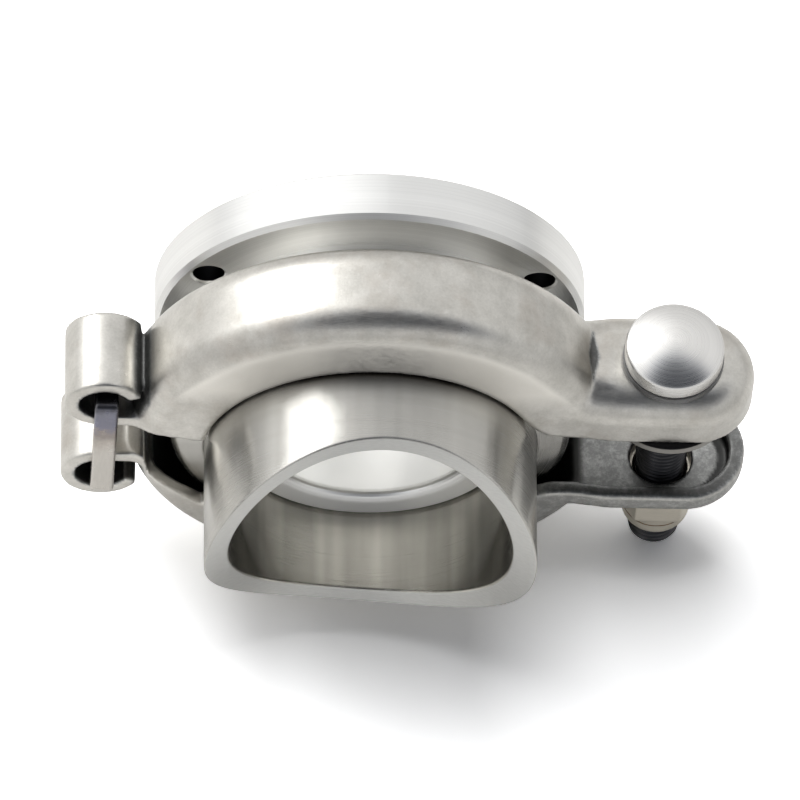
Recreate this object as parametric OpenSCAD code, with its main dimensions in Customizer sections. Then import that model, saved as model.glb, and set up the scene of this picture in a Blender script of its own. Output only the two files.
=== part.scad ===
// Weld-on pipe flange joined to an adapter ring by a two-piece V-band clamp.
// Origin: on the ring axis, in the plane where the two flange faces meet.
// +Y runs along the ring axis from the coped tube to the adapter ring,
// +X from the clamp's hinge to its bolt, and +Z along the bolt to its head.

/* [Weld flange] */
// Outer radius of the coped tube
tube_r = 25.4; // [24.8:0.1:28]
// Inner radius of the coped tube
tube_bore_r = 21.6; // [21.5:0.1:22.5]
// Length from the joint face to the shallowest point of the cope
tube_short_len = 20.1; // [16:0.1:30]
// Radius of the pipe that the cope is cut to sit on
saddle_r = 42; // [36:0.5:60]
// Turn of the cope about the ring axis, in degrees
saddle_turn = -6.2; // [-30:0.1:30]

/* [Flange lips] */
// Width of a lip's rim outside its conical back
lip_rim_w = 2; // [1.4:0.1:3.5]
// Chamfer on the back edge of a lip's rim
lip_chamfer = 1.2; // [0.4:0.1:1.3]
// Thickness of a lip at its rim
lip_t = 5.6; // [5:0.1:6.5]
// Width of the lip's conical back outside the channel's lips
lip_cone_w = 2.85; // [2.25:0.05:3.25]
// Axial rise of the cone at the back of a lip
lip_cone_rise = 0.9; // [0.5:0.1:1.2]

/* [Adapter ring] */
// Outer radius of the ring
ring_r = 33.05; // [32.6:0.05:36]
// Thickness of the ring
ring_t = 7.9; // [5:0.1:14]
// Distance from the joint face to the ring's front face
ring_front = 14.1; // [13:0.1:18]
// Radius of the bore through the ring
ring_bore_r = 16.4; // [12:0.1:18]
// Rounding at the mouth of the bore
bore_round = 1.6; // [0.5:0.1:2.5]
// Radius of the neck between the lip and the ring
neck_r = 25.3; // [24.5:0.1:26]
// Length of the nose that pilots the tube's bore
nose_len = 7; // [4:0.1:10]
// Chamfer on the ring's front edge
ring_chamfer = 0.75; // [0.3:0.05:1.5]
// Chamfer on the ring's back edge and on the nose
small_chamfer = 0.4; // [0.2:0.05:0.8]

/* [Ring holes] */
// Number of screw holes through the ring
hole_count = 3; // [2:1:6]
// Radius of a screw hole
hole_r = 2.4; // [2:0.05:2.6]
// Radius of the circle that the screw holes lie on
hole_circle_r = 29.2; // [29:0.1:29.4]
// Width of the chamfer at a screw hole's mouth
hole_chamfer = 0.35; // [0.1:0.05:0.5]

/* [Joint seal] */
// Radius of the seal's circle
seal_r = 25.6; // [24:0.1:27]
// Diameter of the seal's round section
seal_d = 1.8; // [1.5:0.1:2.4]
// Width of the seal's groove
seal_groove_w = 2.6; // [2.5:0.1:3]

/* [Clamp channel] */
// Thickness of the stamped sheet
sheet_t = 2.3; // [1.6:0.1:2.5]
// Outer radius of the clamp's band
band_r = 37; // [36:0.1:40]
// Half of the band's outer width
band_half_w = 8.2; // [8.1:0.1:9]
// Outer corner radius of the stamped channel
channel_corner = 4; // [3:0.1:4.5]
// Gap between the channel's lips and the tube
tube_lip_gap = 0.35; // [0.3:0.05:1]
// Gap between the channel's lips and the neck
neck_lip_gap = 0.45; // [0.3:0.05:1]

/* [Clamp ears] */
// Height of the ear pads' outer faces from the clamp's centre plane
pad_z = 16.1; // [15:0.1:18]
// Half of the ears' outer width
ear_half_w = 9.2; // [8.8:0.1:10]
// Distance from the ring axis at which the ears reach that width
ear_flare_x = 36; // [34:0.5:37]
// Outer corner radius of the upper ear
upper_ear_corner = 4; // [3:0.1:4.5]
// Outer corner radius of the lower ear
lower_ear_corner = 3; // [2.8:0.1:4.5]
// Reach of the ears past the bolt's axis
ear_reach = 12.7; // [11:0.1:15]
// Height of the upper ear's rim edge above the centre plane
upper_rim_z = 6.2; // [5.8:0.1:8]
// Depth of the lower ear's rim edge below the centre plane
lower_rim_z = 10.7; // [9.5:0.1:12]
// Radius of the curve where a leg's inner edge runs into the ear's rim
rim_relief_r = 7; // [3:0.5:9]
// Radius of the bolt hole in the upper ear
upper_hole_r = 4.3; // [4.1:0.05:4.6]
// Radius of the bolt hole in the lower ear
lower_hole_r = 4.75; // [4.5:0.05:5.2]

/* [Hinge] */
// Distance of the hinge loops' axes from the ring axis
loop_x = 40.9; // [40.7:0.1:45]
// Height of the upper loop's axis above the centre plane
upper_loop_z = 9.7; // [9.5:0.1:12]
// Depth of the lower loop's axis below the centre plane
lower_loop_z = 11.3; // [9.8:0.1:12]
// Outer radius of a hinge loop
loop_r = 6.1; // [5.9:0.1:6.4]
// Width of the hinge loops along the ring axis
loop_w = 13.1; // [10:0.1:14]
// Angle past the loop's outer side at which its curl ends
curl_end = 22; // [20:1:60]
// Section of the link's legs and bars across the clamp
link_w = 3.6; // [3:0.1:4]
// Thickness of the link's side bars along the ring axis
link_bar_t = 1.5; // [1.2:0.1:3.5]
// Extra length of the link over the distance between the loops
link_slack = 1; // [0.2:0.1:1.2]
// Distance that the slack link hangs below the middle of the loops
link_drop = 0.4; // [0:0.05:0.5]
// Distance that the link lies towards the ring from the loops' axes
link_shift = 0.3; // [0:0.05:0.4]
// Side clearance between the link and the loops
link_play = 0.35; // [0.3:0.05:1]
// Reach of the lower half's slanted trim towards the bolt
trim_reach = 9.5; // [4:0.5:10]
// Depth below the centre plane at which that trim starts
trim_z = 8.6; // [8:0.1:9.5]
// Depth that the trim gains over its reach
trim_rise = 8; // [4:0.5:9]

/* [Bolt and nut] */
// Distance of the bolt's axis from the ring axis
bolt_x = 45.5; // [45:0.1:48]
// Radius of the bolt's thread
bolt_r = 3.97; // [3.9:0.01:4]
// Radius of the bolt's head
head_r = 7.55; // [6.5:0.05:8]
// Height of the straight edge of the bolt's head
head_edge = 3; // [1.5:0.1:3]
// Rise of the dome above that edge
head_dome = 2.3; // [0.8:0.1:2.5]
// Distance of the bolt's end below the centre plane
bolt_end_z = 34.7; // [31:0.1:36.5]
// Thickness of the washer under the head
head_washer_t = 1; // [0.8:0.1:2]
// Radius of the washer under the head
head_washer_r = 7.7; // [7.6:0.05:8.1]
// Radius of the retaining washer under the upper ear
retainer_r = 10.2; // [9:0.1:11]
// Thickness of the retaining washer
retainer_t = 1.2; // [0.8:0.1:2]
// Height of the nut
nut_h = 12.2; // [9:0.1:13]
// Radius of the nut's round collar
nut_collar_r = 7; // [6.2:0.1:7.5]
// Height of the nut's collar
nut_collar_h = 2.2; // [1.5:0.1:4]
// Distance across the nut's flats
nut_flats = 12.2; // [11.5:0.1:12.7]
// Radius of the nut's round top
nut_crown_r = 5.3; // [4.9:0.1:5.6]

/* [Hidden] */
// Smoothness of round shapes
$fn = 96;
// Overshoot that lets a cut pass cleanly through a face
cut = 1;
// Gap between parts that seat on each other without touching
seat_gap = 0.3;
// Gap between parts that run on each other
run_gap = 0.08;
// Gap between the nose and the tube's bore
nose_gap = 0.3;
// Gap between the seal and the joint face
seal_relief = 0.04;
// Corner radius of the link's outline
link_corner = 1.2;
// Share of the nut's height that its flats take
nut_flats_share = 0.55;
// Radius of the channel's lips round the tube
tube_lip_r = tube_r + tube_lip_gap;
// Radius of the channel's lips round the neck
neck_lip_r = neck_r + neck_lip_gap;
// Radius where the back of a flange lip turns conical
lip_cone_r = max(tube_lip_r, neck_lip_r) + lip_cone_w;
// Outer radius of the two clamped lips
lip_r = lip_cone_r + lip_rim_w;
// Rise of the cone at the back of a lip, from where it starts down to a radius
function cone_rise(r) = lip_cone_rise * (lip_cone_r - r) / lip_cone_w;
// Inner corner radius of the stamped channel
inner_corner = channel_corner - sheet_t;
// Centre of the rim's relief curve, outside a leg's inner edge
function relief_x(rim_z) = sqrt(pow(tube_lip_r + rim_relief_r, 2) - pow(rim_z + rim_relief_r, 2));
// Length of the tube to the tips of the cope
tube_long_len = tube_short_len + saddle_r - sqrt(pow(saddle_r, 2) - pow(tube_r, 2));
// Centre of the ear's round end
ear_end_x = bolt_x + ear_reach - ear_half_w;
// Lowest thread radius of the bolt's chamfered end
bolt_tip_r = bolt_r - 0.8;
// Height of the underside of the bolt's head
head_z = pad_z + head_washer_t;
// Top of the nut under the lower ear
nut_top_z = -pad_z - seat_gap;

// Turns a profile of radius and distance towards the coped end about the ring axis
module about_ring_axis(first = 0, turn = 360) {
    rotate([90, 0, 0]) rotate_extrude(angle = turn, start = first, $fn = 144) children();
}

// Half of a flange lip's profile, on the side of the joint plane that faces the tube
module lip_profile(root_r, inner_r) {
    polygon([
        [inner_r, 0], [lip_r, 0], [lip_r, lip_t - lip_chamfer], [lip_r - lip_chamfer, lip_t],
        [lip_cone_r, lip_t],
        [root_r, lip_t + cone_rise(root_r)],
        [inner_r, lip_t + lip_cone_rise],
    ]);
}

// Tube with a lip at one end and a saddle cut at the other
module weld_flange() {
    color([0.74, 0.73, 0.70])
    difference() {
        about_ring_axis() {
            lip_profile(tube_r, tube_bore_r);
            translate([tube_bore_r, 0]) square([tube_r - tube_bore_r, tube_long_len + cut]);
        }
        rotate([0, -saddle_turn, 0])
            translate([0, -tube_short_len - saddle_r, -2 * tube_r])
                cylinder(r = saddle_r, h = 4 * tube_r, $fn = 180);
    }
}

// Section of the adapter from its nose, through its lip and neck, to its ring
module adapter_profile() {
    nose_r = tube_bore_r - nose_gap;
    cone_end = lip_t + cone_rise(neck_r);
    polygon([
        [ring_bore_r, -ring_front - ring_t],
        for (i = [0 : 6]) [
            ring_bore_r + bore_round * (1 - cos(15 * i)),
            nose_len - bore_round * (1 - sin(15 * i)),
        ],
        [nose_r - small_chamfer, nose_len], [nose_r, nose_len - small_chamfer],
        [nose_r, 0], [seal_r - seal_groove_w / 2, 0], [seal_r - seal_groove_w / 2, -seal_d],
        [seal_r + seal_groove_w / 2, -seal_d], [seal_r + seal_groove_w / 2, 0],
        [lip_r, 0], [lip_r, lip_chamfer - lip_t], [lip_r - lip_chamfer, -lip_t], [lip_cone_r, -lip_t],
        [neck_r, -cone_end],
        [neck_r, -ring_front], [ring_r - ring_chamfer, -ring_front],
        [ring_r, -ring_front - ring_chamfer], [ring_r, -ring_front - ring_t + small_chamfer],
        [ring_r - small_chamfer, -ring_front - ring_t],
    ]);
}

// One screw hole through the ring, with its chamfered mouth
module ring_hole() {
    rotate([-90, 0, 0]) {
        translate([0, 0, ring_front - cut]) cylinder(r = hole_r, h = ring_t + 2 * cut, $fn = 48);
        translate([0, 0, ring_front - hole_chamfer])
            cylinder(r1 = hole_r + 2 * hole_chamfer, r2 = hole_r, h = 2 * hole_chamfer, $fn = 48);
    }
}

module adapter_ring() {
    color([0.86, 0.86, 0.85])
    difference() {
        about_ring_axis() adapter_profile();
        for (i = [0 : hole_count - 1])
            rotate([0, 90 - i * 360 / hole_count, 0])
                translate([hole_circle_r, 0, 0]) ring_hole();
    }
}

// Round seal that lies in the groove of the adapter's lip
module joint_seal() {
    color([0.10, 0.10, 0.10])
    about_ring_axis()
        translate([seal_r, -seal_d / 2]) circle(d = seal_d - seal_relief, $fn = 32);
}

// Square whose two outer corners are round
module round_shouldered(width, low, high, corner) {
    translate([low, -width / 2]) square([high - low - corner, width]);
    translate([low, -width / 2 + corner]) square([high - low, width - 2 * corner]);
    for (side = [-1, 1])
        translate([high - corner, side * (width / 2 - corner)]) circle(r = corner, $fn = 48);
}

// Section of the clamp's V-channel: crest, two legs and their flared lips
module channel_profile() {
    tube_side = band_half_w + cone_rise(tube_lip_r);
    neck_side = -band_half_w - cone_rise(neck_lip_r);
    open_r = min(tube_lip_r, neck_lip_r) - cut;
    difference() {
        union() {
            round_shouldered(2 * band_half_w, lip_cone_r, band_r, channel_corner);
            polygon([
                [lip_cone_r, -band_half_w], [neck_lip_r, neck_side],
                [tube_lip_r, tube_side], [lip_cone_r, band_half_w],
            ]);
        }
        round_shouldered(2 * (band_half_w - sheet_t), lip_cone_r - 0.001, band_r - sheet_t, inner_corner);
        polygon([
            [lip_cone_r, -band_half_w + sheet_t], [neck_lip_r, neck_side + sheet_t],
            [open_r, neck_side + sheet_t], [open_r, tube_side - sheet_t],
            [tube_lip_r, tube_side - sheet_t], [lip_cone_r, band_half_w - sheet_t],
        ]);
    }
}

// Plan of an ear, which widens from the band's legs to its full width
module ear_plan(inset) {
    end_x = ear_end_x + ear_half_w;
    polygon([
        [lip_cone_r, -band_half_w + inset], [ear_flare_x, -ear_half_w + inset],
        [end_x, -ear_half_w + inset], [end_x, ear_half_w - inset],
        [ear_flare_x, ear_half_w - inset], [lip_cone_r, band_half_w - inset],
    ]);
}

// Dish of an ear, closed towards +Z: a flared trough with a round end.
// The inset shrinks it by the sheet, which makes the hollow.
module ear_dish(rim_z, ear_corner, inset = 0) {
    half_w = ear_half_w - inset;
    corner = ear_corner - inset;
    top = pad_z - inset;
    intersection() {
        union() {
            translate([lip_cone_r, 0, 0])
                rotate([90, 0, 90])
                    linear_extrude(ear_end_x - lip_cone_r)
                        rotate(90) intersection() {
                            round_shouldered(2 * half_w, 0, top, corner);
                            translate([rim_z, -half_w]) square([top, 2 * half_w]);
                        }
            translate([ear_end_x, 0, 0])
                rotate_extrude(angle = 180, start = -90)
                    intersection() {
                        rotate(90) round_shouldered(2 * half_w, 0, top, corner);
                        translate([0, rim_z]) square([half_w, top]);
                    }
        }
        linear_extrude(2 * pad_z) ear_plan(inset);
    }
}

// Sheet curled round the link's leg, with the tab that joins it to the band
module hinge_curl(loop_z) {
    translate([-loop_x, loop_w / 2, loop_z])
        rotate([90, 0, 0])
            rotate_extrude(angle = 270 - curl_end, start = curl_end)
                translate([loop_r - sheet_t, 0]) square([sheet_t, loop_w]);
    translate([-loop_x, -loop_w / 2, loop_z - loop_r])
        cube([loop_x - band_r + 2 * sheet_t, loop_w, sheet_t]);
}

// Region that one half of the clamp may fill, from the rim's height up
module half_space(rim_z, loop_z) {
    translate([0, -2 * band_r, rim_z]) cube([2 * band_r, 4 * band_r, 2 * band_r]);
    translate([-2 * band_r, -2 * band_r, loop_z - loop_r])
        cube([2 * band_r + cut, 4 * band_r, 2 * band_r]);
}

// Corner between a leg's inner edge and the rim, outside a curve that touches both
module rim_relief(rim_z) {
    centre = [relief_x(rim_z), rim_z + rim_relief_r];
    touch = centre * tube_lip_r / (tube_lip_r + rim_relief_r);
    rotate([90, 0, 0])
        linear_extrude(4 * band_half_w, center = true)
            difference() {
                polygon([centre, touch, touch - [cut, cut], [touch[0] - cut, rim_z - cut], [centre[0], rim_z - cut]]);
                translate(centre) circle(r = rim_relief_r, $fn = 96);
            }
}

// Stamped half of the clamp: band, dished ear and hinge curl
module clamp_half(rim_z, ear_corner, hole_r, loop_z) {
    difference() {
        union() {
            intersection() {
                about_ring_axis(0, 180) channel_profile();
                half_space(rim_z, loop_z);
            }
            difference() {
                ear_dish(rim_z, ear_corner);
                about_ring_axis()
                    translate([0, sheet_t - band_half_w])
                        square([band_r - sheet_t, 2 * (band_half_w - sheet_t)]);
            }
            hinge_curl(loop_z);
        }
        ear_dish(rim_z - cut, ear_corner, sheet_t);
        rim_relief(rim_z);
        translate([bolt_x, 0, 0]) cylinder(r = hole_r, h = 2 * pad_z, $fn = 64);
    }
}

module upper_clamp_half() {
    color([0.76, 0.74, 0.71]) clamp_half(upper_rim_z, upper_ear_corner, upper_hole_r, upper_loop_z);
}

// The lower half's legs are trimmed on a slant beside the hinge; its crest runs on
module lower_clamp_half() {
    color([0.72, 0.70, 0.67])
    mirror([0, 0, 1]) difference() {
        clamp_half(lower_rim_z, lower_ear_corner, lower_hole_r, lower_loop_z);
        intersection() {
            rotate([90, 0, 0])
                linear_extrude(4 * band_half_w, center = true)
                    polygon([
                        [-band_r, 0], [-band_r, trim_z], [-band_r + sheet_t, trim_z],
                        [-band_r + sheet_t + trim_reach, trim_z + trim_rise], [-lip_cone_r + trim_reach, 0],
                    ]);
            rotate([90, 0, 0])
                cylinder(r = band_r - sheet_t, h = 4 * band_half_w, center = true, $fn = 144);
        }
    }
}

// Flat ring whose legs pass through both loops and whose bars lie outside them
module hinge_link() {
    bar_out = loop_w / 2 + link_play + link_bar_t;
    span = upper_loop_z + lower_loop_z + link_slack;
    color([0.80, 0.78, 0.75])
    translate([link_shift - loop_x, 0, (upper_loop_z - lower_loop_z) / 2 - link_drop])
        difference() {
            rotate([0, 90, 0])
                linear_extrude(link_w, center = true)
                    round_ended_rectangle(span + link_w, 2 * bar_out, link_corner);
            cube([2 * link_w, loop_w + 2 * link_play, span - link_w], center = true);
        }
}

// Rectangle with round corners, centred
module round_ended_rectangle(length, width, corner) {
    square([length - 2 * corner, width], center = true);
    square([length, width - 2 * corner], center = true);
    for (x = [-1, 1], y = [-1, 1])
        translate([x * (length / 2 - corner), y * (width / 2 - corner)]) circle(r = corner, $fn = 32);
}

// Mushroom-headed bolt; the dome is a slice of a sphere
module clamp_bolt() {
    dome_r = (pow(head_r, 2) + pow(head_dome, 2)) / (2 * head_dome);
    end_chamfer = bolt_r - bolt_tip_r;
    color([0.66, 0.65, 0.64])
    translate([bolt_x, 0, 0]) {
        rotate_extrude() intersection() {
            translate([0, head_z + head_edge + head_dome - dome_r]) circle(r = dome_r, $fn = 180);
            translate([0, head_z]) square([head_r, head_edge + head_dome]);
        }
        translate([0, 0, end_chamfer - bolt_end_z])
            cylinder(r = bolt_r, h = bolt_end_z - end_chamfer + head_z + cut);
        translate([0, 0, -bolt_end_z]) cylinder(r1 = bolt_tip_r, r2 = bolt_r, h = end_chamfer);
    }
}

// Flat ring round the bolt
module washer(outer_r, thickness, low_z) {
    translate([bolt_x, 0, low_z])
        difference() {
            cylinder(r = outer_r, h = thickness);
            translate([0, 0, -cut]) cylinder(r = bolt_r + run_gap, h = thickness + 2 * cut);
        }
}

module head_washer() {
    color([0.70, 0.69, 0.68]) washer(head_washer_r, head_washer_t, pad_z);
}

module retaining_washer() {
    color([0.62, 0.61, 0.60]) washer(retainer_r, retainer_t, upper_rim_z - retainer_t);
}

// Self-locking nut: round collar against the ear, six flats, round crown
module lock_nut() {
    hex_h = nut_h * nut_flats_share;
    color([0.86, 0.82, 0.74])
    translate([bolt_x, 0, nut_top_z])
        mirror([0, 0, 1])
            difference() {
                union() {
                    cylinder(r = nut_collar_r, h = nut_collar_h);
                    intersection() {
                        cylinder(d = nut_flats / cos(30), h = nut_collar_h + hex_h, $fn = 6);
                        cylinder(r1 = nut_collar_r + hex_h, r2 = nut_crown_r + small_chamfer, h = nut_collar_h + hex_h);
                    }
                    cylinder(r = nut_crown_r, h = nut_h);
                }
                translate([0, 0, -cut]) cylinder(r = bolt_r + run_gap, h = nut_h + 2 * cut);
            }
}

weld_flange();
adapter_ring();
joint_seal();
upper_clamp_half();
lower_clamp_half();
hinge_link();
clamp_bolt();
head_washer();
retaining_washer();
lock_nut();
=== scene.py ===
"""Weld-on flange held to an adapter ring by a hinged two-piece clamp."""

import math

import bmesh
import bpy
from mathutils import Matrix, Vector


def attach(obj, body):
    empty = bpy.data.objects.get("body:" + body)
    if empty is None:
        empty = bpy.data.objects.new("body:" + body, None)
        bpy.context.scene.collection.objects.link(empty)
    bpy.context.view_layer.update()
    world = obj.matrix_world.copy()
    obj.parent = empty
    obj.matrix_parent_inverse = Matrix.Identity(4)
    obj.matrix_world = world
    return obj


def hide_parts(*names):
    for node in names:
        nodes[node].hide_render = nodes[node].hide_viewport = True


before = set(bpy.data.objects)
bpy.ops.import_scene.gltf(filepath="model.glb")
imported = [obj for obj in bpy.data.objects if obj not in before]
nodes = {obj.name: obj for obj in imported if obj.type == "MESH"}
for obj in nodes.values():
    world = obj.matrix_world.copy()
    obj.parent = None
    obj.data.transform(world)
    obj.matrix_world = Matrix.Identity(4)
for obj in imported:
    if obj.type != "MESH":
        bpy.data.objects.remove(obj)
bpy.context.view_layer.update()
scene = bpy.context.scene
MM = 0.001

# Sizes of the part, in millimetres, as in its source
BAND_R, BAND_HALF_W, LEG_R, SHEET_T = 37.0, 8.2, 25.75, 2.3
BOLT_X, BOLT_R = 45.5, 3.97
LOOP_X, LOOP_R, LOOP_W = 40.9, 6.1, 13.1
UPPER_LOOP_Z, LOWER_LOOP_Z = 9.7, 11.3
EAR_HALF_W, EAR_END_X, PAD_Z = 9.2, 49.0, 16.1
TUBE_R, TUBE_BORE_R, LIP_R = 25.4, 21.6, 30.6
SADDLE_R, SADDLE_Y, SADDLE_TURN = 42.0, -62.1, math.radians(6.2)
HOLE_CIRCLE_R, HOLE_R, HOLE_COUNT = 29.2, 2.4, 3
HEAD_R, HEAD_Z, HEAD_EDGE, HEAD_DOME, BOLT_END_Z = 7.55, 17.1, 3.0, 2.3, 34.7
THREAD_PITCH, THREAD_TOP_Z, THREAD_DEPTH, THREAD_RUN_OUT = 1.058, 14.0, 0.6, 1.5
NUT_TOP_Z, NUT_H, NUT_FLATS = 16.4, 12.2, 12.2
NUT_COLLAR_R, NUT_COLLAR_H, NUT_CROWN_R = 7.0, 2.2, 5.3
LINK_W, LINK_BAR_OUT, LINK_BAR_IN, LINK_X, LINK_Z, LINK_REACH = 3.6, 8.4, 6.9, 40.6, -1.2, 11.0

# Forms of the stamped sheet that this scene rounds or bends in its own way, in millimetres
BAND_CORNER = 4.8
FLARE_R, FLARE = 33.2, 0.95
EAR_ROOT_X, EAR_SPREAD_X, EAR_SPREAD_LENGTH = 27.0, 37.0, 8.4
WEDGE_X, WEDGE_HALF_W = 39.2, 5.6
# where the painted shade on the ears starts, along x
EAR_SHADE_X = 22.0
CURL_WAY, CURL_GAP = math.radians(-34), math.radians(56)
# Planes that trim the lower half's legs at the hinge: a point's x and z, then the slope in x and z
TRIM_PLANES = ((-34.7, 8.6, -0.644, 0.765), (-25.2, 16.6, 0.94, 0.34))


# ---- camera -----------------------------------------------------------------

# Fitted to the photo: millimetres to the eye, and pixels to a millimetre at the origin
EYE_AWAY, PIXELS_PER_MM, PHOTO_PIXELS, SENSOR = 2339.9, 6.5352, 800, 36
EYE_SIDE, EYE_UP, EYE_SHIFT_Y = 4.604, 2.304, -1.63


def place_camera():
    """Long lens, 60 degrees above the ring axis; the clamp leans a little to its bolt side."""
    az, el, roll, lean = (math.radians(v) for v in (-0.624, 60.26, 0.444, 2.6))
    back = Vector((math.sin(az) * math.cos(el), -math.cos(az) * math.cos(el), math.sin(el)))
    side = Vector((math.cos(az), math.sin(az), 0))
    up = back.cross(side)
    right = math.cos(roll) * side + math.sin(roll) * up
    up = -math.sin(roll) * side + math.cos(roll) * up
    place = EYE_SIDE * right + EYE_UP * up + EYE_AWAY * back
    tilt = Matrix.Rotation(-lean, 3, "Y")
    right, up, back, place = (tilt @ v for v in (right, up, back, place))
    place += Vector((0, EYE_SHIFT_Y, 0))
    camera = bpy.data.cameras.new("photo_view")
    camera.sensor_width = SENSOR
    camera.lens = PIXELS_PER_MM * EYE_AWAY / PHOTO_PIXELS * SENSOR
    camera.clip_start, camera.clip_end = 0.1, 20
    eye = bpy.data.objects.new("photo_view", camera)
    turn = Matrix((right, up, back)).transposed()
    eye.matrix_world = Matrix.Translation(place * MM) @ turn.to_4x4()
    scene.collection.objects.link(eye)
    scene.camera = eye


place_camera()


# ---- node trees -------------------------------------------------------------

def link(tree, source, target):
    tree.links.new(source, target)


def node(tree, kind, inputs=None, **props):
    """Adds a node; inputs maps a socket's name or number to a value or to another socket."""
    made = tree.nodes.new(kind)
    for key, value in props.items():
        setattr(made, key, value)
    for key, value in (inputs or {}).items():
        if isinstance(value, bpy.types.NodeSocket):
            link(tree, value, made.inputs[key])
        else:
            made.inputs[key].default_value = value
    return made


def math_node(tree, operation, *values):
    return node(tree, "ShaderNodeMath", dict(enumerate(values)), operation=operation).outputs[0]


def plus(tree, a, b):
    return math_node(tree, "ADD", a, b)


def times(tree, a, b):
    return math_node(tree, "MULTIPLY", a, b)


def length(tree, a, b):
    return math_node(tree, "SQRT", plus(tree, times(tree, a, a), times(tree, b, b)))


def span(tree, value, low, high, out_low=0.0, out_high=1.0):
    """Maps a value from one range to another, clamped."""
    ends = {0: value, 1: low, 2: high, 3: out_low, 4: out_high}
    return node(tree, "ShaderNodeMapRange", ends).outputs[0]


def mix_number(tree, amount, a, b):
    return node(tree, "ShaderNodeMix", {0: amount, 2: a, 3: b}).outputs[0]


def mix_colour(tree, amount, a, b):
    return node(tree, "ShaderNodeMix", {0: amount, 6: a, 7: b}, data_type="RGBA").outputs[2]


def rgba(colour, gain=1.0):
    return (colour[0] * gain, colour[1] * gain, colour[2] * gain, 1)


def parts(tree, place):
    """The outputs X, Y and Z of a place."""
    return node(tree, "ShaderNodeSeparateXYZ", {0: place}).outputs


def object_place(tree, scale=(1, 1, 1), offset=(0, 0, 0), turn=(0, 0, 0)):
    place = node(tree, "ShaderNodeTexCoord").outputs["Object"]
    return node(tree, "ShaderNodeMapping",
                {"Vector": place, "Location": offset, "Rotation": turn, "Scale": scale}).outputs[0]


def noise(tree, place, scale, detail=3.0, rough=0.55):
    return node(tree, "ShaderNodeTexNoise",
                {"Vector": place, "Scale": scale, "Detail": detail, "Roughness": rough}).outputs[0]


def about_axis(tree, place, across="XZ"):
    """Radius and height of a place about a turned piece's axis, first as a vector for noise."""
    part = parts(tree, place)
    along = part[({"X", "Y", "Z"} - set(across)).pop()]
    r = length(tree, part[across[0]], part[across[1]])
    return node(tree, "ShaderNodeCombineXYZ", {0: r, 1: along}).outputs[0], r, along


def empty_tree(owner):
    owner.use_nodes = True
    owner.node_tree.nodes.clear()
    return owner.node_tree


def start_material(name, metallic=1.0):
    mat = bpy.data.materials.new(name)
    tree = empty_tree(mat)
    out = node(tree, "ShaderNodeOutputMaterial")
    skin = node(tree, "ShaderNodeBsdfPrincipled", {"Metallic": metallic})
    link(tree, skin.outputs[0], out.inputs[0])
    return mat, tree, skin


def stored(tree, label):
    """A number kept on the piece's points."""
    return node(tree, "ShaderNodeAttribute", attribute_name=label).outputs["Fac"]


# ---- materials --------------------------------------------------------------

BUMP_DEPTH = 0.00002

# Radii in metres over which a look starts: the ring's nose at its bore and outside, and the
# retaining washer's bright rim, where the painted shade on its face ends. The nut's pressed
# line lies at a height in metres
NOSE_FROM, NOSE_TO = (0.0167, 0.0171), (0.0218, 0.0214)
RIM_FROM = (0.01018, 0.01005)
PRESSED_LINE_Z = -0.0263


def dress(tree, skin, tint, roughness, height=None, strength=0.3):
    """Gives a shader its colour, its roughness and, from a height, its fine bump."""
    link(tree, tint, skin.inputs["Base Color"])
    link(tree, roughness, skin.inputs["Roughness"])
    if height is not None:
        bump = node(tree, "ShaderNodeBump",
                    {"Strength": strength, "Distance": BUMP_DEPTH, "Height": height})
        link(tree, bump.outputs[0], skin.inputs["Normal"])


def lathe_lay(tree, skin, axis, strength):
    """Tool marks round an axis draw highlights out across themselves."""
    lay = node(tree, "ShaderNodeTangent", direction_type="RADIAL", axis=axis)
    link(tree, lay.outputs[0], skin.inputs["Tangent"])
    skin.inputs["Anisotropic"].default_value = strength
    skin.inputs["Anisotropic Rotation"].default_value = 0.25


def turned_metal(name, colour, rough, upright=False, lines=5000.0, depth=0.35, tone=0.06, lay=0.6,
                 dark=None, painted_light_within=0.0):
    """Metal turned on a lathe: fine rings round its axis, with faint broad bands. upright is for
    pieces on the bolt. dark holds a function for where another colour shows, that colour and its
    roughness. Within the radius given last, the metal is painted lighter, as painted light, and
    its nose is rougher."""
    mat, tree, skin = start_material(name)
    place = object_place(tree, offset=(-BOLT_X * MM if upright else 0, 0, 0))
    rings, r, _ = about_axis(tree, place, "XY" if upright else "XZ")
    fine = noise(tree, rings, lines, 4, 0.7)
    broad = noise(tree, rings, lines * 0.06, 3, 0.5)
    shade = plus(tree, times(tree, fine, 0.6), times(tree, broad, 0.4))
    tint = mix_colour(tree, span(tree, shade, 0.3, 0.7), rgba(colour, 1 - tone),
                      rgba(colour, 1 + tone))
    wander = span(tree, noise(tree, place, 60, 2), 0.35, 0.65, -0.03, 0.03)
    roughness = plus(tree, span(tree, fine, 0.3, 0.7, rough - 0.05, rough + 0.06), wander)
    # painted light: the metal is painted lighter within the given radius, and its nose is rougher
    if painted_light_within:
        inside = span(tree, r, painted_light_within, painted_light_within - 0.0004)
        tint = mix_colour(tree, times(tree, inside, 0.9), tint, rgba(colour, 1.17))
        nose = times(tree, span(tree, r, *NOSE_FROM), span(tree, r, *NOSE_TO))
        roughness = plus(tree, roughness, times(tree, nose, 0.25))
    if dark:
        where, dark_colour, dark_rough = dark
        amount = where(tree, place)
        tint = mix_colour(tree, amount, tint, rgba(dark_colour))
        roughness = plus(tree, roughness, times(tree, amount, dark_rough - rough))
    dress(tree, skin, tint, roughness, plus(tree, fine, times(tree, broad, 2.0)), depth)
    if lay:
        lathe_lay(tree, skin, "Z" if upright else "Y", lay)
    return mat


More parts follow.
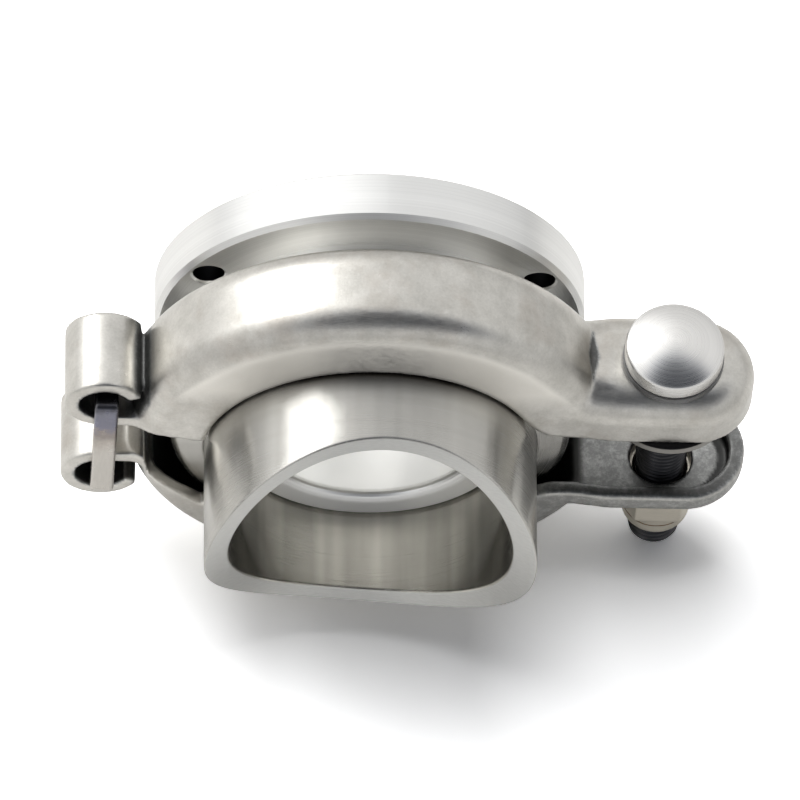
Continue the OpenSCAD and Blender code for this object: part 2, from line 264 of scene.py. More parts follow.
def tumbled_sheet(name, colour, shade_grey_colour, rough=0.35, tone=0.16, warm=0.012):
    """Stamped sheet after tumbling: soft cloudy patches and very fine random scratches. The
    number "inner" on its points goes from 0 to 1 where painted shade turns the sheet to a speckled
    grey, from 1 to 2 where that painted shade turns black, and below 0 where the metal is paler and
    rougher: painted light on the front of the legs, and pale sheared edges."""
    mat, tree, skin = start_material(name)
    place = object_place(tree)
    cloud = noise(tree, place, 230, 5, 0.68)
    fine = noise(tree, place, 2600, 3, 0.6)
    slanted = object_place(tree, scale=(1, 9, 1), turn=(0.3, 0.4, 0.7))
    scratch = noise(tree, slanted, 1040, 3, 0.6)
    shade = plus(tree, times(tree, cloud, 0.7), times(tree, fine, 0.3))
    low = (colour[0] * (1 - tone), colour[1] * (1 - tone), colour[2] * (1 - tone - warm), 1)
    tint = mix_colour(tree, span(tree, shade, 0.32, 0.68), low, rgba(colour, 1 + tone))
    stain = span(tree, noise(tree, place, 95, 4, 0.7), 0.50, 0.74, 0.0, 0.42)
    tint = mix_colour(tree, stain, tint, (0.40, 0.345, 0.29, 1))
    inner = stored(tree, "inner")
    shade_grey, black, pale = (span(tree, inner, a, b) for a, b in ((0, 1), (1, 2), (0, -1)))
    # painted light: paler where "inner" is below 0 on the legs' front; the sheared edges are pale
    # metal
    tint = mix_colour(tree, pale, tint, rgba(colour, 1.55))
    specks = span(tree, noise(tree, place, 900, 6, 0.8), 0.46, 0.74)
    # painted shade: the speckled grey, then black
    speckled = mix_colour(tree, specks, rgba(shade_grey_colour), rgba(shade_grey_colour, 2.0))
    speckled = mix_colour(tree, black, speckled, rgba(shade_grey_colour, 0.22))
    tint = mix_colour(tree, shade_grey, tint, speckled)
    roughness = plus(tree, span(tree, cloud, 0.3, 0.7, rough + 0.06, rough - 0.06),
                     span(tree, scratch, 0.35, 0.65, -0.04, 0.05))
    roughness = plus(tree, roughness, times(tree, pale, 0.16))
    roughness = plus(tree, roughness, times(tree, shade_grey, 0.1))
    dress(tree, skin, tint, roughness,
          plus(tree, times(tree, cloud, 7.0), plus(tree, fine, scratch)))
    return mat


def coped_steel(name):
    """Turned tube: ringed outside with a painted shadow at the clamp, painted reflections as
    streaks along the axis outside and in the bore, and a milled cope with slanting cutter marks.
    The points' numbers "bore" and "cut" say which is where."""
    mat, tree, skin = start_material(name)
    place = object_place(tree)
    rings, _, along = about_axis(tree, place)
    fine = noise(tree, rings, 5000, 4, 0.7)
    broad = noise(tree, rings, 320, 3, 0.5)
    shade = plus(tree, times(tree, fine, 0.5), times(tree, broad, 0.5))
    # painted reflection: streaks along the axis, darker outside, light and dark in the bore
    painted_streaks = noise(tree, object_place(tree, scale=(1, 0.04, 1)), 240, 2, 0.5)
    mill = noise(tree, object_place(tree, scale=(1, 1, 9), turn=(0, 0.5, 0)), 900, 3, 0.6)
    outside = mix_colour(tree, span(tree, shade, 0.3, 0.7), (0.46, 0.45, 0.42, 1),
                         (0.57, 0.56, 0.53, 1))
    outside = mix_colour(tree, span(tree, painted_streaks, 0.36, 0.64, 0.0, 0.30), outside,
                         (0.28, 0.27, 0.25, 1))
    # painted shadow of the clamp's lip on the tube, strongest at the top
    lip_shadow = times(tree, span(tree, along, -0.0124, -0.0092),
                     span(tree, parts(tree, place)["Z"], 0.006, 0.023))
    outside = mix_colour(tree, math_node(tree, "POWER", lip_shadow, 1.6), outside,
                         (0.06, 0.056, 0.05, 1))
    bore = mix_colour(tree, span(tree, painted_streaks, 0.36, 0.64), (0.36, 0.35, 0.315, 1),
                      (0.57, 0.55, 0.50, 1))
    bore = mix_colour(tree, span(tree, shade, 0.3, 0.7, 0.0, 0.25), bore, (0.50, 0.48, 0.44, 1))
    milled = mix_colour(tree, span(tree, mill, 0.3, 0.7), (0.62, 0.62, 0.60, 1),
                        (0.74, 0.74, 0.72, 1))
    cut = stored(tree, "cut")
    turned = mix_colour(tree, stored(tree, "bore"), outside, bore)
    wander = span(tree, noise(tree, place, 60, 3), 0.35, 0.65, -0.03, 0.03)
    turned_rough = plus(tree, span(tree, fine, 0.3, 0.7, 0.20, 0.30), wander)
    milled_rough = span(tree, mill, 0.3, 0.7, 0.40, 0.52)
    dress(tree, skin, mix_colour(tree, cut, turned, milled),
          mix_number(tree, cut, turned_rough, milled_rough),
          mix_number(tree, cut, plus(tree, fine, broad), mill), 0.35)
    lathe_lay(tree, skin, "Y", 0.92)
    return mat


# The link's colours from its lower end to its upper bar: a brown tint, then painted shade
# and a painted bluish reflection that take it to near black
LINK_TINTS_AND_SHADE = ((0.0, (0.58, 0.555, 0.515)), (0.22, (0.48, 0.44, 0.40)), (0.42, (0.30, 0.265, 0.25)),
              (0.55, (0.20, 0.20, 0.26)), (0.80, (0.17, 0.175, 0.22)), (0.92, (0.10, 0.10, 0.11)))


def link_tints_painted_shade(name):
    """Satin link with a brown tint, darkened towards its upper bar by painted shade and a painted
    bluish reflection.
    """
    mat, tree, skin = start_material(name)
    place = object_place(tree)
    cloud = noise(tree, place, 420, 4, 0.6)
    grain = noise(tree, object_place(tree, scale=(1, 1, 0.12)), 3200, 3, 0.6)
    wave = times(tree, math_node(tree, "SUBTRACT", cloud, 0.5), 0.006)
    wavy = plus(tree, parts(tree, place)["Z"], wave)
    bands = node(tree, "ShaderNodeValToRGB", {0: span(tree, wavy, -0.002, 0.013)})
    ramp = bands.color_ramp
    while len(ramp.elements) < len(LINK_TINTS_AND_SHADE):
        ramp.elements.new(0.5)
    for stop, (at, colour) in zip(ramp.elements, LINK_TINTS_AND_SHADE):
        stop.position, stop.color = at, rgba(colour)
    tint = mix_colour(tree, span(tree, grain, 0.3, 0.7, 0.0, 0.16), bands.outputs[0],
                      (0.30, 0.28, 0.26, 1))
    dress(tree, skin, tint, span(tree, cloud, 0.3, 0.7, 0.24, 0.36), grain)
    return mat


def moulded_rubber(name):
    mat, tree, skin = start_material(name, 0.0)
    fine = noise(tree, object_place(tree), 3000, 3)
    dress(tree, skin, mix_colour(tree, fine, (0.015, 0.015, 0.015, 1), (0.04, 0.04, 0.04, 1)),
          span(tree, fine, 0.3, 0.7, 0.5, 0.7))
    return mat


def shade_in_screw_holes(tree, place):
    """Painted shade that darkens the walls of the ring's screw holes."""
    part = parts(tree, place)
    nearest = None
    for i in range(HOLE_COUNT):
        turn = math.radians(90 - 120 * i)
        dx = math_node(tree, "SUBTRACT", part["X"], HOLE_CIRCLE_R * MM * math.cos(turn))
        dz = math_node(tree, "SUBTRACT", part["Z"], -HOLE_CIRCLE_R * MM * math.sin(turn))
        gap = length(tree, dx, dz)
        nearest = gap if nearest is None else math_node(tree, "MINIMUM", nearest, gap)
    return span(tree, nearest, (HOLE_R + 0.07) * MM, HOLE_R * MM)


def on_thread(tree, place):
    return stored(tree, "thread")


def shade_under_the_ear(tree, place):
    """Painted shade on the washer's face under the ear, near black; only its rim stays bright."""
    return span(tree, about_axis(tree, place, "XY")[1], *RIM_FROM)


def pressed_line(tree, place):
    """Brown line where the locking ring is pressed into the nut."""
    wave = times(tree, math_node(tree, "SUBTRACT", noise(tree, place, 300, 2), 0.5), 0.0006)
    low = plus(tree, parts(tree, place)["Z"], -PRESSED_LINE_Z)
    off = math_node(tree, "ABSOLUTE", plus(tree, low, wave))
    return span(tree, off, 0.00022, 0.00008)


TUBE_STEEL = coped_steel("turned_tube_steel")
# painted light: the ring is painted lighter round its bore and nose
RING_ALLOY = turned_metal("turned_ring_alloy", (0.82, 0.82, 0.805), 0.34, lay=0.4, tone=0.12,
                          painted_light_within=0.0219,
                          dark=(shade_in_screw_holes, (0.03, 0.03, 0.033), 0.35))
CLAMP_STEEL = tumbled_sheet("tumbled_clamp_sheet", (0.59, 0.575, 0.54), (0.32, 0.322, 0.315))
LINK_STEEL = link_tints_painted_shade("link_tints_painted_shade")
BOLT_STEEL = turned_metal("turned_bolt_head", (0.76, 0.75, 0.73), 0.31, upright=True, lines=5200,
                          depth=0.45, tone=0.11, lay=0.3,
                          dark=(on_thread, (0.07, 0.07, 0.073), 0.33))
# painted shade: the washer under the bolt head is painted dark for the shade the head casts
HEAD_WASHER_SHADED = turned_metal("head_washer_painted_shade", (0.17, 0.17, 0.172), 0.34, upright=True)
# painted shade: the retaining washer's face is painted near black under the upper ear
RETAINER_STEEL = turned_metal("retaining_washer", (0.30, 0.29, 0.27), 0.34, upright=True, lay=0,
                              dark=(shade_under_the_ear, (0.03, 0.03, 0.032), 0.45))
NUT_PLATE = turned_metal("pale_nut_plating", (0.78, 0.73, 0.63), 0.34, upright=True, tone=0.09,
                         lay=0, dark=(pressed_line, (0.22, 0.13, 0.06), 0.5))
SEAL_RUBBER = moulded_rubber("seal_rubber")


# ---- shaping fields ---------------------------------------------------------

class Field:
    """A length in millimetres that varies over space, from math nodes in a geometry tree."""

    def __init__(self, tree, source):
        self.tree, self.source = tree, source

    def made(self, operation, *others):
        values = (v.source if isinstance(v, Field) else v for v in (self,) + others)
        return Field(self.tree, math_node(self.tree, operation, *values))

    def __add__(self, other):
        return self.made("ADD", other)

    def __sub__(self, other):
        return self.made("SUBTRACT", other)

    def __mul__(self, other):
        return self.made("MULTIPLY", other)

    def __neg__(self):
        return self.made("MULTIPLY", -1.0)

    def size(self):
        return self.made("ABSOLUTE")

    def above(self, other):
        return self.made("MAXIMUM", other)

    def below(self, other):
        return self.made("MINIMUM", other)

    def unit(self):
        """Held between 0 and 1."""
        return self.above(0.0).below(1.0)

    def join(self, other, blend):
        """Union of two solids with a fillet."""
        return self.made("SMOOTH_MIN", other, blend)

    def keep(self, other, blend):
        """Intersection of two solids with a rounded edge."""
        return self.made("SMOOTH_MAX", other, blend)

    def cut(self, other, blend):
        """What another solid leaves, with a rounded edge."""
        return self.keep(-other, blend)


def far(a, b):
    """Distance from the origin of a plane place."""
    return (a * a + b * b).made("SQRT")


def rounded(a, b, half_a, half_b, corner):
    """Rounded rectangle about the origin, as a signed distance."""
    a, b = a.size() - (half_a - corner), b.size() - (half_b - corner)
    return far(a.above(0), b.above(0)) + a.above(b).below(0) - corner


def shell(solid):
    """Sheet just inside a solid's surface."""
    return (solid + SHEET_T / 2).size() - SHEET_T / 2


def piece_from_mesh(name, mesh, body, replaced):
    obj = bpy.data.objects.new(name, mesh)
    scene.collection.objects.link(obj)
    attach(obj, body)
    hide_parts(replaced)


def made_plain(tree, inputs):
    """Evaluates a geometry tree on a carrier object and returns its result as a mesh."""
    carrier = bpy.data.objects.new("carrier", bpy.data.meshes.new("carrier"))
    scene.collection.objects.link(carrier)
    step = carrier.modifiers.new("shape", "NODES")
    step.node_group = tree
    for item in tree.interface.items_tree:
        if item.in_out == "INPUT" and item.name in inputs:
            step[item.identifier] = inputs[item.name]
    bpy.context.view_layer.update()
    ready = carrier.evaluated_get(bpy.context.evaluated_depsgraph_get())
    mesh = bpy.data.meshes.new_from_object(ready)
    bpy.data.objects.remove(carrier)
    mesh.name = tree.name
    return mesh


def shaped_mesh(name, material, low, high, step, shape):
    """Mesh of the solid whose signed distance shape(x, y, z) gives, sampled at each step between
    two corners. shape also gives the number that the clamp's material reads as "inner", or None."""
    tree = bpy.data.node_groups.new(name, "GeometryNodeTree")
    tree.interface.new_socket("Material", in_out="INPUT", socket_type="NodeSocketMaterial")
    tree.interface.new_socket("Geometry", in_out="OUTPUT", socket_type="NodeSocketGeometry")
    given, out = node(tree, "NodeGroupInput"), node(tree, "NodeGroupOutput")
    part = parts(tree, node(tree, "GeometryNodeInputPosition").outputs[0])
    solid, inner = shape(*(Field(tree, part[i]) * (1 / MM) for i in range(3)))
    dense = (-solid + 1.0).above(0.0).below(2.0)
    counts = [int(round((h - l) / step)) + 1 for l, h in zip(low, high)]
    volume = node(tree, "GeometryNodeVolumeCube", {
        "Density": dense.source, "Background": 0.0,
        "Min": [v * MM for v in low], "Max": [v * MM for v in high],
        "Resolution X": counts[0], "Resolution Y": counts[1], "Resolution Z": counts[2]})
    skin = node(tree, "GeometryNodeVolumeToMesh", {"Volume": volume.outputs[0], "Threshold": 1.0})
    if inner is not None:
        skin = node(tree, "GeometryNodeStoreNamedAttribute",
                    {"Geometry": skin.outputs[0], "Name": "inner", "Value": inner.source})
    smooth = node(tree, "GeometryNodeSetShadeSmooth", {0: skin.outputs[0]})
    real = node(tree, "GeometryNodeRealizeInstances", {0: smooth.outputs[0]})
    dressed = node(tree, "GeometryNodeSetMaterial",
                   {"Geometry": real.outputs[0], "Material": given.outputs["Material"]})
    link(tree, dressed.outputs[0], out.inputs[0])
    return made_plain(tree, {"Material": material})


# ---- clamp halves -----------------------------------------------------------

def clamp_outside(x, y, z, r, corner, wedge):
    """Outsides of the band and the ear of a half, and the distance from the ear's middle line."""
    # band: flat crest, round corners, legs that flare towards their lips
    flare_length = FLARE_R - LEG_R
    flare = (-r + FLARE_R).above(0.0).below(flare_length) * (FLARE / flare_length)
    band = rounded(y.size() - flare, r.above(0.0), BAND_HALF_W, BAND_R, BAND_CORNER)
    # ear: a trough with a round end that widens from the band
    wide = (-x + EAR_SPREAD_X).above(0.0).below(EAR_SPREAD_LENGTH) * (1.0 / EAR_SPREAD_LENGTH)
    along = far((x - EAR_END_X).above(0.0), y) + wide
    # the pad rises a little in a wedge towards the band
    rise = ((-x + WEDGE_X) * 0.2).unit() * ((-y.size() + WEDGE_HALF_W) * 0.45).unit() * wedge
    ear = rounded(along, z.above(0.0) - rise, EAR_HALF_W, PAD_Z, corner)
    return band, ear.keep(-x + EAR_ROOT_X, 1.0), along


def hinge_loop(a, b, y):
    """Sheet curled round the link's leg at a = b = 0, and the tab that ties it to the band."""
    u = a * math.cos(CURL_WAY) + b * math.sin(CURL_WAY)
    v = (b * math.cos(CURL_WAY) - a * math.sin(CURL_WAY)).size()
    curl = shell(far(a, b) - LOOP_R).cut(v * math.cos(CURL_GAP) - u * math.sin(CURL_GAP), 0.5)
    tab = shell(-b - LOOP_R).keep(-a, 0.1).keep(a - (LOOP_X - BAND_R + SHEET_T), 0.4)
    return curl.below(tab).keep(y.size() - LOOP_W / 2, 0.5)


def trim_side(x, z, plane):
    at_x, at_z, slope_x, slope_z = plane
    return (x - at_x) * slope_x + (z - at_z) * slope_z


def fold_shade(a, b, x, y, z, r, ridge):
    """Painted shade where the sheet's outside lies in a fold: inside and round the hinge loop, and
    along the ridge between band and ear, where it is shade and dirt."""
    to_loop, in_loop = far(a, b), -y.size() + (LOOP_W / 2 + 0.35)
    in_curl = (-to_loop + (LOOP_R - SHEET_T + 0.45)) * 4.0
    nook = (to_loop - (LOOP_R + 0.1)).below(-x - 33.8).below(in_loop).below(b + 2.0) * 2.0
    crease = ((-y.size() + WEDGE_HALF_W) * 0.22 - ridge.size()).below(z - 14.2) * 2.6
    crevice = (-(r - BAND_R).size() - (to_loop - LOOP_R).size() + 2.2).below(in_loop)
    crevice = crevice.below(b + 4.0) * 1.2
    return in_curl.above(nook).above(crease).above(crevice).unit()


def clamp_shape(side, rim, corner, hole, loop_z, wedge, dark_from, trimmed):
    """Field of one stamped half. side is 1 for the upper half and -1 for the lower one."""
    def shape(x, y, z):
        z = z * side
        r, a, b = far(x, z), x + LOOP_X, z - loop_z
        band, ear, along = clamp_outside(x, y, z, r, corner, wedge)
        outer = band.join(ear, 1.5)
        # inner edge of the legs: it runs into the rim in a curve, and meets the loop's tab
        at_lip = -r + LEG_R
        near_bolt = at_lip.keep(-z + rim, 9.0).keep(-x - 1.5, 0.1)
        near_hinge = at_lip.keep(-z + (loop_z - LOOP_R), 0.4).keep(x - 1.5, 0.1)
        sheet = shell(outer).keep(near_bolt.below(near_hinge), 0.7)
        if trimmed:
            first, second = (trim_side(x, z, plane) for plane in TRIM_PLANES)
            slant = first.above(second)
            sheet = sheet.cut(slant.above(r - (BAND_R - SHEET_T)), 0.5)
        sheet = sheet.cut(far(x - BOLT_X, y) - hole, 0.5)
        solid = sheet.join(hinge_loop(a, b, y), 1.6)
        # painted shade: the sheet's inner sides turn grey, and black deep in the ear
        deep = ((-outer - dark_from) * 6.0).below((x - EAR_SHADE_X) * 0.5)
        deep = ((-outer - 1.9) * 2.5).above(deep).unit()
        deep = (deep - (-x - 35.0).above(0.0)).above(0.0)
        past_end = (x - EAR_END_X).above(0.0).below(4.0) * 0.33
        black = ((along - 6.3 + past_end) * 3.0).above(-x + 33.8)
        black = black.below((z - rim - 0.5) * 3.0).unit()
        if trimmed:
            # painted shade on the lower ear and its rim, and the sheared edges at the hinge are
            # pale
            rim_face = (-(z - rim).size() + 0.45).below(along - 6.9).below(x - 24.0) * 1.2
            sheared = (-slant.size() + 0.7).below((-outer - 0.15) * 2.0)
            sheared = sheared.below((-x - 22.0) * 0.5) * 2.0
            lower_ear_shade = ((x - EAR_SHADE_X) * 0.2).above(0.0).below(0.45)
            deep = deep.above(lower_ear_shade) + rim_face.above(0.0).below(0.6)
            deep = deep - sheared.above(0.0).below(0.7)
        # painted shade in the folds, and shade with dirt along the ridge
        marks = fold_shade(a, b, x, y, z, r, band - ear)
        inner = deep + deep.above(0.0) * black
        inner = inner + (marks * 1.8 - deep).above(0.0) * (marks * 4.0).below(1.0)
        if side > 0:
            # painted light: the front of the legs is painted paler, and it is rougher
            pale = ((y.size() - 7.9) * 4.0).below((r - 25.4) * 2.0).below((-r + 34.5) * 0.7)
            inner = inner - pale.below((z - 14.0) * 0.2).unit()
        return solid, inner
    return shape


CLAMP_STEP, SMALL_STEP = 0.4, 0.2


def clamp_half(name, side, node_name, body, **form):
    low, high = [-48.0, -10.4, 2.2], [60.0, 10.4, 38.0]
    if side < 0:
        low[2], high[2] = -38.0, -2.2
    mesh = shaped_mesh(name, CLAMP_STEEL, low, high, CLAMP_STEP, clamp_shape(side, **form))
    piece_from_mesh(name, mesh, body, node_name)


clamp_half("upper_half_stamping", 1, "upper_clamp_half", "upper_half", rim=6.2, corner=5.0,
           hole=4.3, loop_z=UPPER_LOOP_Z, wedge=0.5, dark_from=1.9, trimmed=False)
clamp_half("lower_half_stamping", -1, "lower_clamp_half", "lower_half", rim=10.7, corner=3.0,
           hole=4.75, loop_z=LOWER_LOOP_Z, wedge=0.0, dark_from=0.15, trimmed=True)


# ---- link and nut -----------------------------------------------------------

def link_shape(x, y, z):
    """Rectangular ring with eased corners whose legs pass through the two loops."""
    outline = rounded(y, z - LINK_Z, LINK_BAR_OUT, LINK_REACH + LINK_W / 2, 1.2)
    window = rounded(y, z - LINK_Z, LINK_BAR_IN, LINK_REACH - LINK_W / 2, 0.5)
    ring = outline.cut(window, 0.4)
    return ring.keep((x + LINK_X).size() - LINK_W / 2, 0.7), None


def nut_shape(x, y, z):
    """Collar, six flats that the crown's cone cuts back, and a bore on the bolt's thread."""
    x, z = x - BOLT_X, -z - NUT_TOP_Z
    r = far(x, y)
    flats = None
    for turn in (30, 90, 150):
        a = math.radians(turn)
        flat = (x * math.cos(a) + y * math.sin(a)).size() - NUT_FLATS / 2
        flats = flat if flats is None else flats.keep(flat, 0.25)
    cone = r - 7.15 + (z - 6.7) * 0.7
    body = flats.keep(z - NUT_H * 0.62, 0.8).keep(cone, 0.4)
    crown = (r - NUT_CROWN_R).keep(z - NUT_H, 0.9)
    collar = (r - NUT_COLLAR_R).keep(z - NUT_COLLAR_H, 0.7)
    whole = body.join(crown, 0.8).join(collar, 0.6).keep(-z, 0.3)
    return whole.cut(r - (BOLT_R + 0.1), 0.2), None


rounded_link = shaped_mesh("rounded_link", LINK_STEEL, (-43.2, -9.2, -14.8), (-38.0, 9.2, 12.4),
                           SMALL_STEP, link_shape)
piece_from_mesh("rounded_link", rounded_link, "link", "hinge_link")
crowned_nut = shaped_mesh("crowned_nut", NUT_PLATE, (37.9, -7.6, -29.2), (53.1, 7.6, -15.8),
                          SMALL_STEP, nut_shape)
piece_from_mesh("crowned_nut", crowned_nut, "nut", "lock_nut")


# ---- turned pieces ----------------------------------------------------------

def smooth_surface(name, rings, material, labels, close_ends):
    """Skin over rings of points, with numbers kept on the points of each ring."""
    count = len(rings[0])
    points = [tuple(v * MM for v in p) for ring in rings for p in ring]
    faces = []
    for j in range(len(rings) - (1 if close_ends else 0)):
        k = (j + 1) % len(rings)
        for i in range(count):
            n = (i + 1) % count
            faces.append((j * count + i, k * count + i, k * count + n, j * count + n))
    if close_ends:
        faces += [tuple(range(count)), tuple(reversed(range(len(points) - count, len(points))))]
    mesh = bpy.data.meshes.new(name)
    mesh.from_pydata(points, [], faces)
    for label, values in labels.items():
        kept = mesh.attributes.new(label, "FLOAT", "POINT")
        kept.data.foreach_set("value", [v for v in values for _ in range(count)])
    soft = bmesh.new()
    soft.from_mesh(mesh)
    bmesh.ops.recalc_face_normals(soft, faces=soft.faces)
    soft.to_mesh(mesh)
    soft.free()
    mesh.shade_smooth()
    mesh.materials.append(material)
    return mesh


def ring_angles(count):
    return [2 * math.pi * i / count for i in range(count)]


# The tube's section: radii and distances from the joint face at the lip and in the bore, and
# radii and heights over the cope at its end
LIP_SECTION = ((22.0, 0.0), (29.9, 0.0), (30.5, -0.12), (LIP_R, -0.5), (LIP_R, -4.3),
               (30.45, -4.75), (29.6, -5.5), (29.2, -5.68), (28.6, -5.75), (27.0, -6.15),
               (26.0, -6.45), (25.6, -6.62), (25.45, -6.85), (TUBE_R, -7.3))
COPE_SECTION = ((TUBE_R, 2.5), (TUBE_R, 0.5), (25.38, 0.22), (25.28, 0.06), (25.12, 0.0),
                (24.9, 0.0), (22.1, 0.0), (21.88, 0.0), (21.72, 0.06), (21.62, 0.22),
                (TUBE_BORE_R, 0.5), (TUBE_BORE_R, 2.5))
BORE_SECTION = ((TUBE_BORE_R, -11.0), (TUBE_BORE_R, -3.0), (TUBE_BORE_R, -0.5), (21.7, -0.12))


def coped_tube():
    """Flange lip, tube and saddle-shaped end."""
    rings, cut, bore = [], [], []
    for section in (LIP_SECTION, COPE_SECTION, BORE_SECTION):
        on_cope = section is COPE_SECTION
        for r, height in section:
            ring = []
            for a in ring_angles(288):
                x, z = r * math.cos(a), r * math.sin(a)
                across = x * math.cos(SADDLE_TURN) - z * math.sin(SADDLE_TURN)
                cope = SADDLE_Y + math.sqrt(SADDLE_R ** 2 - across ** 2)
                ring.append((x, cope + height if on_cope else height, z))
            rings.append(ring)
            cut.append(1.0 if on_cope and height < 0.05 else 0.0)
            bore.append(1.0 if r < 21.8 else 0.0)
    mesh = smooth_surface("coped_tube", rings, TUBE_STEEL, {"cut": cut, "bore": bore}, False)
    piece_from_mesh("coped_tube", mesh, "tube_flange", "weld_flange")


def threaded_bolt():
    """Domed head and a shank with a helical thread."""
    rings, thread = [], []

    def add(radius, z, on_shank, groove=0.0):
        ring = []
        for a in ring_angles(60):
            turn = 2 * math.pi * z / THREAD_PITCH - a
            r = radius - groove * (0.5 - 0.5 * math.cos(turn)) ** 0.8
            ring.append((BOLT_X + r * math.cos(a), r * math.sin(a), z))
        rings.append(ring)
        thread.append(on_shank)

    dome_r = (HEAD_R ** 2 + HEAD_DOME ** 2) / (2 * HEAD_DOME)
    top = HEAD_Z + HEAD_EDGE + HEAD_DOME
    tilt = math.asin(HEAD_R / dome_r)
    for i in range(1, 30):
        a = tilt * i / 29.5
        add(dome_r * math.sin(a), top - dome_r * (1 - math.cos(a)), 0.0)
    for r, z in ((7.52, 20.0), (HEAD_R, 19.8), (HEAD_R, 17.6), (7.5, 17.35), (7.35, 17.15),
                 (7.0, HEAD_Z)):
        add(r, z, 0.0)
    add(BOLT_R + 0.1, HEAD_Z, 1.0)
    add(BOLT_R - 0.03, HEAD_Z - 0.2, 1.0)
    z, end = THREAD_TOP_Z, 0.8 - BOLT_END_Z
    while z > end:
        fade = min(1.0, (THREAD_TOP_Z - z) / THREAD_RUN_OUT)
        add(BOLT_R - 0.01, z, 1.0, THREAD_DEPTH * fade)
        z -= THREAD_PITCH / 8
    for r, z in ((BOLT_R - 0.15, end - 0.05), (3.3, 0.1 - BOLT_END_Z), (3.1, -BOLT_END_Z),
                 (1.0, -BOLT_END_Z)):
        add(r, z, 1.0)
    mesh = smooth_surface("threaded_bolt", rings, BOLT_STEEL, {"thread": thread}, True)
    piece_from_mesh("threaded_bolt", mesh, "upper_half", "clamp_bolt")


coped_tube()
threaded_bolt()

LOOKS = {
    "weld_flange": TUBE_STEEL, "adapter_ring": RING_ALLOY, "joint_seal": SEAL_RUBBER,
    "hinge_link": LINK_STEEL, "upper_clamp_half": CLAMP_STEEL, "lower_clamp_half": CLAMP_STEEL,
    "clamp_bolt": BOLT_STEEL, "head_washer": HEAD_WASHER_SHADED, "retaining_washer": RETAINER_STEEL,
    "lock_nut": NUT_PLATE,
}
for name, look in LOOKS.items():
    for slot in nodes[name].material_slots:
        slot.material = look


# ---- studio -----------------------------------------------------------------

FLOOR_SIZE = 6.0
FLOOR_WHITE = 1.90  # seen by the camera, so that the floor ends in plain white
KEY_WAY = (-0.60, 0.50, 0.64)
# Dark gaps that the metal mirrors, over the table's front and to its right: way, and the
# angles in degrees where a gap starts and where it is full
GAPS = (((0, -0.46, 0.888), 45, 15), ((0.42, -0.42, 0.80), 34, 8))


def seen_or_mirrored(tree):
    """1 for rays from the camera, from a mirror or through glass, else 0."""
    path = node(tree, "ShaderNodeLightPath").outputs
    both = math_node(tree, "MAXIMUM", path["Is Camera Ray"], path["Is Glossy Ray"])
    return math_node(tree, "MAXIMUM", both, path["Is Transmission Ray"])


def white_floor():
    mat = bpy.data.materials.new("studio_floor")
    tree = empty_tree(mat)
    out = node(tree, "ShaderNodeOutputMaterial")
    seen = node(tree, "ShaderNodeLightPath").outputs["Is Camera Ray"]
    tone = mix_colour(tree, seen_or_mirrored(tree), (0.72, 0.72, 0.72, 1), (0.95, 0.94, 0.92, 1))
    tone = mix_colour(tree, seen, tone, (FLOOR_WHITE, FLOOR_WHITE, FLOOR_WHITE, 1))
    matte = node(tree, "ShaderNodeBsdfDiffuse", {"Color": tone})
    link(tree, matte.outputs[0], out.inputs[0])
    mesh = bpy.data.meshes.new("floor")
    h = FLOOR_SIZE / 2
    mesh.from_pydata([(-h, -h, 0), (h, -h, 0), (h, h, 0), (-h, h, 0)], [], [(0, 1, 2, 3)])
    mesh.transform(Matrix.Translation((0, 0, -BAND_R * MM)))
    mesh.materials.append(mat)
    obj = bpy.data.objects.new("floor", mesh)
    scene.collection.objects.link(obj)


def lamp(name, width, depth, place, power, mirrored=True):
    light = bpy.data.lights.new(name, "AREA")
    light.shape = "RECTANGLE"
    light.size, light.size_y = width, depth
    light.energy = power
    obj = bpy.data.objects.new(name, light)
    place = Vector(place)
    turn = place.to_track_quat("Z", "Y").to_matrix().to_4x4()
    obj.matrix_world = Matrix.Translation(place) @ turn
    obj.visible_glossy = mirrored
    scene.collection.objects.link(obj)
    return obj


def leave_out(light, piece):
    """Keeps a lamp off one piece."""
    group = bpy.data.collections.new(light.name + "_receivers")
    group.objects.link(piece)
    group.collection_objects[0].light_linking.link_state = "EXCLUDE"
    light.light_linking.receiver_collection = group


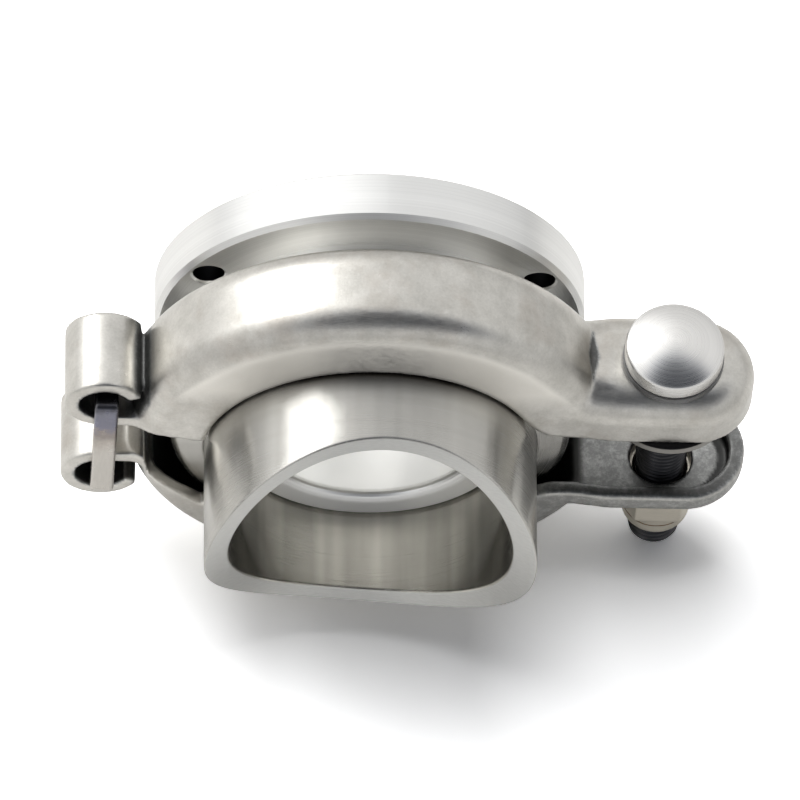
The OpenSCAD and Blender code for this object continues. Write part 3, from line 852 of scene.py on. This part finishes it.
def toward(tree, way, aim, wide, narrow):
    """1 within narrow degrees of a fixed direction, falling softly to 0 at wide degrees."""
    close = node(tree, "ShaderNodeVectorMath", {0: way, 1: Vector(aim).normalized()},
                 operation="DOT_PRODUCT").outputs["Value"]
    wide, narrow = (math.cos(math.radians(v)) for v in (wide, narrow))
    return node(tree, "ShaderNodeMapRange", {0: close, 1: wide, 2: narrow, 3: 0.0, 4: 1.0},
                interpolation_type="SMOOTHSTEP").outputs[0]


def studio():
    """White room that lights the part softly, and shows more contrast to what mirrors it."""
    world = bpy.data.worlds.new("studio")
    scene.world = world
    tree = empty_tree(world)
    out = node(tree, "ShaderNodeOutputWorld")
    way = node(tree, "ShaderNodeTexCoord").outputs["Generated"]
    height = parts(tree, way)["Z"]
    front = toward(tree, way, (0, -0.5, 0.866), 75, 15)
    light = times(tree, span(tree, height, 0.0, 1.0, 0.08, 0.60),
                  span(tree, front, 0, 1, 1.0, 0.25))
    gap = math_node(tree, "MAXIMUM", *(toward(tree, way, *where) for where in GAPS))
    halo = toward(tree, way, KEY_WAY, 50, 14)
    mirrored = times(tree, span(tree, height, -0.1, 0.6, 0.70, 0.95),
                     span(tree, gap, 0, 1, 1.0, 0.10))
    mirrored = plus(tree, mirrored, times(tree, halo, 0.55))
    seen = node(tree, "ShaderNodeLightPath").outputs["Is Camera Ray"]
    strength = mix_number(tree, seen_or_mirrored(tree), light, mirrored)
    strength = math_node(tree, "MAXIMUM", strength, seen)
    cool = times(tree, gap, math_node(tree, "SUBTRACT", 1.0, seen))
    tint = mix_colour(tree, cool, (1, 1, 1, 1), (0.80, 0.86, 1.0, 1))
    glow = node(tree, "ShaderNodeBackground", {"Color": tint, "Strength": strength})
    link(tree, glow.outputs[0], out.inputs[0])
    white_floor()
    leave_out(lamp("key_softbox", 0.55, 0.5, KEY_WAY, 2.6), nodes["adapter_ring"])
    lamp("overhead_softbox", 0.6, 0.6, (-0.05, 0.16, 1.0), 5.6, mirrored=False)
    lamp("side_softbox", 0.5, 0.5, (-0.62, 0.30, 0.75), 3.0, mirrored=False)


studio()
scene.view_settings.view_transform = "Standard"
